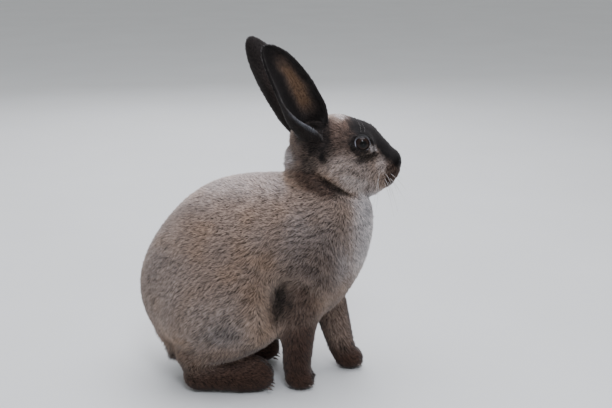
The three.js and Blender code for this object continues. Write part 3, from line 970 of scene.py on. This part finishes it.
x, y, _ = roots.T
left, right = y > 0, y <= 0
on_ear, on_head = shares["ear"] > 0.5, shares["head"] + shares["muzzle"] > 0.5
on_legs = shares["foreleg"] + shares["hind_foot"] > 0.5
on_body = ~(on_ear | on_head | on_legs)
COAT_AREAS = {
    "ear": (on_ear, "dark_coat"),
    "leg": (on_legs & ~on_ear, "dark_coat"),
    "head": (on_head & ~on_ear & ~on_legs, "coat"),
    "shoulder": (on_body & (x > 30), "coat"),
    "flank": (on_body & (x <= 30) & (x > -50), "coat"),
    "rump": (on_body & (x <= -50), "coat"),
}
coat = []
for area, (inside, slot) in COAT_AREAS.items():
    for side, half in (("left", left), ("right", right)):
        chosen = inside & half
        coat.append(coat_piece(
            f"coat_{area}_{side}", corners[chosen], soft[chosen], tuft_uv[chosen],
            {key: share[chosen] for key, share in marks_and_painted_light.items()}, shade[chosen],
        ))


# ------------------------ eyes, lids, nose, claws, whiskers
def tube(path, radius, around, flat=1.0, up=(0, 0, 1), closed=False):
    """A round section carried along a path: at each point, radius (cos a out + flat sin a over), where
    out and over stand square to the path. A closed path's last ring meets its first."""
    path, radius = np.asarray(path, float), np.broadcast_to(radius, len(path))
    along = unit(np.roll(path, -1, 0) - np.roll(path, 1, 0) if closed else np.gradient(path, axis=0))
    out = unit(np.cross(along, np.broadcast_to(up, path.shape)))
    over = np.cross(out, along)
    a = np.linspace(0, 2 * math.pi, around, endpoint=False)[None, :, None]
    ring = np.cos(a) * out[:, None] + flat * np.sin(a) * over[:, None]
    return path[:, None] + radius[:, None, None] * ring


def merged(shells):
    """Several closed shells as one list of vertices and triangles, each facing outwards."""
    starts = np.cumsum([0] + [len(v) for v, _ in shells[:-1]])
    tris = np.concatenate([outward(v, t) + n for (v, t), n in zip(shells, starts)])
    return np.concatenate([v for v, _ in shells]), tris


def add_piece(name, shells, node=None):
    """One object of closed shells, which rides the root and may stand for a node."""
    vertices, tris = merged(shells)
    piece = mesh_object(name, to_row(vertices), tris)
    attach(piece, "root")
    if node:
        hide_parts(node)
    return piece


def eyeball(side):
    """A ball with a low dome over the iris: radius R (1 + 0.035 e^(-(angle from the axis / 0.75)^2))."""
    middle, axis, forward, up = eye_frame(side)
    lat, lon = grid(48, 64, -math.pi / 2, math.pi / 2)
    off = math.pi / 2 - lat  # angle from the axis
    radius = EYE_RADIUS * (1 + 0.035 * np.exp(-((off / 0.75) ** 2)))[..., None]
    ring = np.cos(lon)[..., None] * forward + np.sin(lon)[..., None] * up
    points = middle + radius * (np.cos(off)[..., None] * axis + np.sin(off)[..., None] * ring)
    name = NAMES[side]
    piece = add_piece(f"eyeball_{name}", [closed_grid(points)], f"eye_{name}")
    store(piece.data, "off_axis", np.concatenate([off.ravel(), [math.pi, 0]]))
    return piece


def eyelid(side):
    """A thin bare rim along lid_line, wider at the front corner."""
    middle, axis, forward, up = eye_frame(side)
    turn = np.linspace(0, 2 * math.pi, 96, endpoint=False)
    reach, height, point = lid_line(turn)
    path = middle + height[:, None] * axis + reach[:, None] * (
        np.cos(turn)[:, None] * forward + np.sin(turn)[:, None] * up
    )
    ring = tube(path, 0.62 + 0.4 * point, 14, flat=0.8, up=axis, closed=True)
    rows, around = ring.shape[:2]
    quads = wrapped_faces(rows + 1, around) % (rows * around)
    return add_piece(f"eyelid_{NAMES[side]}", [(ring.reshape(-1, 3), halved(quads))])


def nose_pad():
    """The bare pad between the nostrils: an egg with a shallow groove down its middle."""
    pad = lump((144.6, 0, 257.5), (2.6, 3.4, 3.6), -15).skin(28, 36)
    pad[..., 0] -= 0.9 * np.exp(-((pad[..., 1] / 0.7) ** 2)) * (pad[..., 0] > 144.6)
    return add_piece("nose_pad", [closed_grid(pad)])


def claw(root, length, width):
    """A horn bent down along a circle: x = length sin t, z = -length (1 - cos t), tapering as 1 - t^1.7."""
    t = np.linspace(0, 1, 12)
    bend = 0.85 * t
    path = np.array(root, float) + length * np.stack([np.sin(bend), 0 * t, -(1 - np.cos(bend))], -1)
    return closed_grid(tube(path, width * np.maximum(1 - t**1.7, 0.08), 10, flat=1.25, up=(0, 1, 0)))


def claws():
    """Four claws on every foot, half hidden by the toes' fur."""
    shells = []
    for side in (LEFT, RIGHT):
        for step in (-1.5, -0.5, 0.5, 1.5):
            back = 1.6 * abs(step)
            shells.append(claw((2.3 - back, side * HIND_FOOT_MIDDLE + 8.2 * step, 8.2), 8.2, 1.25))
            toes = FORELEGS[NAMES[side]][2]
            shells.append(claw((toes[0] + 12.3 - back, toes[1] + 7.2 * step, 7.2), 7.6, 1.15))
    return add_piece("claws", shells)


def bristle(rng, side, root, way, bow, reach, thick):
    """A hair from 1.5 mm under its root: root + length (t way + t^2 bow), its radius thick (1 - 0.85 t)."""
    t = np.linspace(0, 1, 14)[:, None]
    way = unit(np.array(way) + rng.normal(0, 0.08, 3))
    bow = rng.normal(0, 0.05, 3) + bow
    path = np.array(root) - (0, 1.5, 0) + rng.uniform(*reach) * (t * way + t**2 * bow)
    path[:, 1] *= side
    return closed_grid(tube(path, thick * (1 - 0.85 * t[:, 0]), 5))


def whiskers():
    """Three rows of three on each side of the muzzle, and two short bristles over each eye."""
    rng = np.random.default_rng(3)
    shells = []
    for side in (LEFT, RIGHT):
        for row in range(3):
            for n in range(3):
                root = (131 - 4.5 * n, 12.5 + 1.2 * n, 254 - 4.5 * row)
                way = (0.6 - 0.25 * n, 0.9, -0.34 * row)
                shells.append(bristle(rng, side, root, way, (-0.1, 0, -0.25), (36, 48), 0.26))
        for n in range(2):
            root = (106 - 4 * n, 23, 300)
            way = (0.05 - 0.15 * n, 0.4, 1)
            shells.append(bristle(rng, side, root, way, (-0.3, 0.05, -0.05), (15, 23), 0.07))
    return add_piece("whiskers", shells)


eyeballs = [eyeball(side) for side in (LEFT, RIGHT)]
eyelids = [eyelid(side) for side in (LEFT, RIGHT)]
nose, claw_set, whisker_set = nose_pad(), claws(), whiskers()


# ------------------------ finishes
def linear(code):
    """An sRGB hex colour as linear red, green, blue and 1: c / 12.92, or ((c + 0.055) / 1.055)^2.4."""
    parts = [int(code[n : n + 2], 16) / 255 for n in (0, 2, 4)]
    return [c / 12.92 if c <= 0.04045 else ((c + 0.055) / 1.055) ** 2.4 for c in parts] + [1.0]


def add_node(tree, kind, inputs=None, output=0, **settings):
    """Adds a node with its settings and links and gives one of its outputs. Each input is a number, a
    colour or another node's output."""
    made = tree.nodes.new(kind)
    for name, value in settings.items():
        setattr(made, name, value)
    for name, value in (inputs or {}).items():
        if isinstance(value, bpy.types.NodeSocket):
            tree.links.new(value, made.inputs[name])
        else:
            made.inputs[name].default_value = value
    return made.outputs[output]


def new_material(name, **constants):
    """A material with its Principled shader, whose constants are set on the shader's own sockets."""
    material = bpy.data.materials.new(name)
    material.use_nodes = True
    shader = material.node_tree.nodes["Principled BSDF"]
    for socket, value in constants.items():
        shader.inputs[socket.replace("_", " ")].default_value = value
    return material, material.node_tree, shader


MIX_FACTOR, MIX_A, MIX_B, MIX_COLOUR = 0, 6, 7, 2  # a colour Mix node's sockets
# The last colour is a painted sheen on the ears' rolled rims; dark and pale also serve as painted shade and
# painted highlight.
FUR = {
    "ground": "827166", "tan": "8d735d", "pale": "b3adac", "ash": "646060",
    "brown": "785d46", "rust": "3b2a22", "dark": "110d0c", "painted_sheen": "56575b",
}


def fur_colour_and_painted_light(tree):
    """The ground colour, with each share laid over it: the fur's markings, and painted shade, highlight and
    sheen.
    """
    colour = linear(FUR["ground"])
    for name in ("tan", "pale", "ash", "brown", "rust", "dark", "painted_sheen"):
        share = add_node(tree, "ShaderNodeAttribute", output="Fac", attribute_name=name)
        inputs = {MIX_FACTOR: share, MIX_A: colour, MIX_B: linear(FUR[name])}
        colour = add_node(tree, "ShaderNodeMix", inputs, MIX_COLOUR, data_type="RGBA")
    return colour


def plush_fur():
    """Short plush rabbit fur: guard hairs of even length give a matt, velvety face with a pale bloom at
    grazing angles, darker at the roots and ticked from tuft to tuft."""
    material, tree, shader = new_material(
        "plush_fur", Roughness=0.78, Sheen_Weight=0.25, Sheen_Roughness=0.45, Specular_IOR_Level=0.25
    )
    shader.inputs["Sheen Tint"].default_value = linear("d8d4d2")
    shade = add_node(tree, "ShaderNodeAttribute", output="Fac", attribute_name="shade")
    along = add_node(tree, "ShaderNodeAttribute", output="Fac", attribute_name="along")
    ticked = add_node(tree, "ShaderNodeMath", {0: shade, 1: 1.1, 2: 1.0}, operation="MULTIPLY_ADD")
    tip = add_node(tree, "ShaderNodeMath", {0: along, 1: 0.6, 2: ticked}, operation="MULTIPLY_ADD")
    bright = add_node(tree, "ShaderNodeCombineColor", {0: tip, 1: tip, 2: tip})
    inputs = {MIX_FACTOR: 1.0, MIX_A: fur_colour_and_painted_light(tree), MIX_B: bright}
    colour = add_node(tree, "ShaderNodeMix", inputs, MIX_COLOUR, data_type="RGBA", blend_type="MULTIPLY")
    tree.links.new(colour, shader.inputs["Base Color"])
    return material


def under_fur():
    """Woolly rabbit underfur, below the guard hairs: the same markings, but darker, with no shine and a
    fine nap. The darkening is partly the underfur's own darker tone, partly painted shade where it shows in
    the gaps between tufts."""
    material, tree, shader = new_material(
        "under_fur", Roughness=0.9, Sheen_Weight=0.2, Sheen_Roughness=0.5, Specular_IOR_Level=0.15
    )
    place = add_node(tree, "ShaderNodeTexCoord", output="Object")
    inputs = {"Vector": place, "Scale": 1 / (3 * MM), "Detail": 3.0}
    clumps = add_node(tree, "ShaderNodeTexNoise", inputs, "Fac")
    inputs = {"Vector": place, "Scale": 1 / (0.8 * MM), "Detail": 2.0}
    nap = add_node(tree, "ShaderNodeTexNoise", inputs, "Fac")
    # darker in clumps: the underfur's own tone, with painted shade between the tufts
    inputs = {MIX_FACTOR: clumps, MIX_A: linear("8f8f8f"), MIX_B: linear("e6e6e6")}
    depth = add_node(tree, "ShaderNodeMix", inputs, MIX_COLOUR, data_type="RGBA")
    inputs = {MIX_FACTOR: 1.0, MIX_A: fur_colour_and_painted_light(tree), MIX_B: depth}
    colour = add_node(tree, "ShaderNodeMix", inputs, MIX_COLOUR, data_type="RGBA", blend_type="MULTIPLY")
    tree.links.new(colour, shader.inputs["Base Color"])
    bump = add_node(tree, "ShaderNodeBump", {"Height": nap, "Strength": 0.5, "Distance": 0.6 * MM})
    tree.links.new(bump, shader.inputs["Normal"])
    return material


PUPIL_EDGE, IRIS_EDGE = 0.42, 0.98  # angles from the eye's axis, in radians


def wet_eye():
    """A dark brown iris round a wide pupil under a clear wet cornea: near black, with sharp glints."""
    material, tree, shader = new_material(
        "wet_eye",
        Roughness=0.3,
        Specular_IOR_Level=0.0,
        Coat_Weight=0.6,
        Coat_Roughness=0.02,
        Coat_IOR=1.38,
    )
    off = add_node(tree, "ShaderNodeAttribute", output="Fac", attribute_name="off_axis")
    place = add_node(tree, "ShaderNodeTexCoord", output="Object")
    inputs = {"Vector": place, "Scale": 1 / (1.2 * MM), "Detail": 4.0}
    streaks = add_node(tree, "ShaderNodeTexNoise", inputs, "Fac")
    inputs = {MIX_FACTOR: streaks, MIX_A: linear("0d0807"), MIX_B: linear("26160f")}
    iris = add_node(tree, "ShaderNodeMix", inputs, MIX_COLOUR, data_type="RGBA")
    inputs = {"Value": off, "From Min": PUPIL_EDGE - 0.05, "From Max": PUPIL_EDGE + 0.08}
    past_pupil = add_node(tree, "ShaderNodeMapRange", inputs)
    inputs = {"Value": off, "From Min": IRIS_EDGE, "From Max": IRIS_EDGE + 0.1}
    past_iris = add_node(tree, "ShaderNodeMapRange", inputs)
    inputs = {MIX_FACTOR: past_pupil, MIX_A: linear("030304"), MIX_B: iris}
    disc = add_node(tree, "ShaderNodeMix", inputs, MIX_COLOUR, data_type="RGBA")
    inputs = {MIX_FACTOR: past_iris, MIX_A: disc, MIX_B: linear("151110")}
    colour = add_node(tree, "ShaderNodeMix", inputs, MIX_COLOUR, data_type="RGBA")
    tree.links.new(colour, shader.inputs["Base Color"])
    return material


def lid_skin():
    """The lids' bare rim: thin grey skin, darker above, with fine creases and a slight moist shine."""
    material, tree, shader = new_material("lid_skin", Roughness=0.5, Specular_IOR_Level=0.4)
    place = add_node(tree, "ShaderNodeTexCoord", output="Object")
    inputs = {"Vector": place, "Scale": 1 / (0.9 * MM), "Detail": 3.0}
    creases = add_node(tree, "ShaderNodeTexNoise", inputs, "Fac")
    inputs = {MIX_FACTOR: creases, MIX_A: linear("6a6a73"), MIX_B: linear("9c9ca6")}
    grey = add_node(tree, "ShaderNodeMix", inputs, MIX_COLOUR, data_type="RGBA")
    height = add_node(tree, "ShaderNodeSeparateXYZ", {"Vector": place}, "Z")
    middle = float(to_row(EYE_MIDDLE)[2])
    inputs = {"Value": height, "From Min": middle - 1 * MM, "From Max": middle + 7 * MM}
    upper = add_node(tree, "ShaderNodeMapRange", inputs)
    inputs = {MIX_FACTOR: upper, MIX_A: grey, MIX_B: linear("1c1a1b")}
    colour = add_node(tree, "ShaderNodeMix", inputs, MIX_COLOUR, data_type="RGBA")
    tree.links.new(colour, shader.inputs["Base Color"])
    bump = add_node(tree, "ShaderNodeBump", {"Height": creases, "Strength": 0.4, "Distance": 0.3 * MM})
    tree.links.new(bump, shader.inputs["Normal"])
    return material


def nose_leather():
    """Bare nose skin, dark and finely pebbled, dull with a damp sheen."""
    material, tree, shader = new_material("nose_leather", Roughness=0.42, Specular_IOR_Level=0.45)
    place = add_node(tree, "ShaderNodeTexCoord", output="Object")
    inputs = {"Vector": place, "Scale": 1 / (0.5 * MM)}
    pebbles = add_node(tree, "ShaderNodeTexVoronoi", inputs, "Distance")
    inputs = {MIX_FACTOR: pebbles, MIX_A: linear("241c1b"), MIX_B: linear("45393a")}
    colour = add_node(tree, "ShaderNodeMix", inputs, MIX_COLOUR, data_type="RGBA")
    tree.links.new(colour, shader.inputs["Base Color"])
    bump = add_node(tree, "ShaderNodeBump", {"Height": pebbles, "Strength": 0.5, "Distance": 0.15 * MM})
    tree.links.new(bump, shader.inputs["Normal"])
    return material


def claw_horn():
    """Claw horn: dark, semi-matt keratin with fine streaks along its length."""
    material, tree, shader = new_material("claw_horn", Roughness=0.38, Specular_IOR_Level=0.5)
    place = add_node(tree, "ShaderNodeTexCoord", output="Object")
    drawn_out = add_node(tree, "ShaderNodeMapping", {"Vector": place, "Scale": (0.15, 1, 1)})
    inputs = {"Vector": drawn_out, "Scale": 1 / (0.6 * MM), "Detail": 2.0}
    streaks = add_node(tree, "ShaderNodeTexNoise", inputs, "Fac")
    inputs = {MIX_FACTOR: streaks, MIX_A: linear("2a211d"), MIX_B: linear("6a5a50")}
    colour = add_node(tree, "ShaderNodeMix", inputs, MIX_COLOUR, data_type="RGBA")
    tree.links.new(colour, shader.inputs["Base Color"])
    return material


def whisker_hair():
    """Stiff pale whisker: smooth keratin that catches the light along its whole length."""
    material, tree, shader = new_material("whisker_hair", Roughness=0.4, Specular_IOR_Level=0.5)
    place = add_node(tree, "ShaderNodeTexCoord", output="Object")
    inputs = {"Vector": place, "Scale": 1 / (12 * MM), "Detail": 1.0}
    fade = add_node(tree, "ShaderNodeTexNoise", inputs, "Fac")
    inputs = {MIX_FACTOR: fade, MIX_A: linear("8f8985"), MIX_B: linear("cfcac6")}
    colour = add_node(tree, "ShaderNodeMix", inputs, MIX_COLOUR, data_type="RGBA")
    tree.links.new(colour, shader.inputs["Base Color"])
    return material


def dress(pieces, material):
    """The material as the only one of each piece."""
    for piece in pieces:
        piece.data.materials.clear()
        piece.data.materials.append(material)


dress([skin], under_fur())
dress(coat, plush_fur())
dress(eyeballs, wet_eye())
dress(eyelids, lid_skin())
dress([nose], nose_leather())
dress([claw_set], claw_horn())
dress([whisker_set], whisker_hair())


# ------------------------ floor and light
def pale_plaster():
    """Smooth troweled plaster: matt and pale, with faint broad clouds."""
    material, tree, shader = new_material("pale_plaster", Roughness=0.85, Specular_IOR_Level=0.2)
    place = add_node(tree, "ShaderNodeTexCoord", output="Object")
    inputs = {"Vector": place, "Scale": 1 / (250 * MM), "Detail": 3.0}
    cloud = add_node(tree, "ShaderNodeTexNoise", inputs, "Fac")
    inputs = {MIX_FACTOR: cloud, MIX_A: linear("cfcfcd"), MIX_B: linear("d8d8d6")}
    colour = add_node(tree, "ShaderNodeMix", inputs, MIX_COLOUR, data_type="RGBA")
    tree.links.new(colour, shader.inputs["Base Color"])
    return material


def studio_floor():
    """A disc under the feet, worked out as rings of points round its middle."""
    around = 96
    turn = np.linspace(0, 2 * math.pi, around, endpoint=False)
    radii = np.array([0.4, 2, 8, 40])[:, None, None]
    rings = radii * np.stack([np.cos(turn), np.sin(turn), 0 * turn], -1)
    vertices = np.concatenate([rings.reshape(-1, 3), [[0, 0, 0]]])
    n = np.arange(around)
    hub = np.stack([n, (n + 1) % around, np.full(around, len(vertices) - 1)], -1)
    quads = wrapped_faces(len(radii), around)
    floor = mesh_object("floor", vertices, np.concatenate([halved(quads)[:, ::-1], hub]))
    dress([floor], pale_plaster())


LIGHTS_AIM = (0.0, 0.0, 0.2)  # halfway up the animal


def soft_light(name, place, size, power, colour):
    """A square soft box at place that faces the animal."""
    data = bpy.data.lights.new(name, "AREA")
    data.size, data.energy, data.color = size, power, linear(colour)[:3]
    light = bpy.data.objects.new(name, data)
    bpy.context.scene.collection.objects.link(light)
    light.location = place
    light.rotation_euler = (Vector(LIGHTS_AIM) - Vector(place)).to_track_quat("-Z", "Y").to_euler()


studio_floor()
soft_light("sky_box", (0.1, 0.1, 1.9), 1.6, 42, "f4f6ff")
soft_light("front_box", (0.3, -1.3, 1.65), 0.42, 17, "eef3ff")
soft_light("rear_box", (-0.3, 1.5, 1.1), 1.2, 14, "f4f6ff")
world = bpy.data.worlds.new("studio")
world.use_nodes = True
background = world.node_tree.nodes["Background"].inputs
background["Color"].default_value = linear("dfe2e6")
background["Strength"].default_value = 0.78
bpy.context.scene.world = world
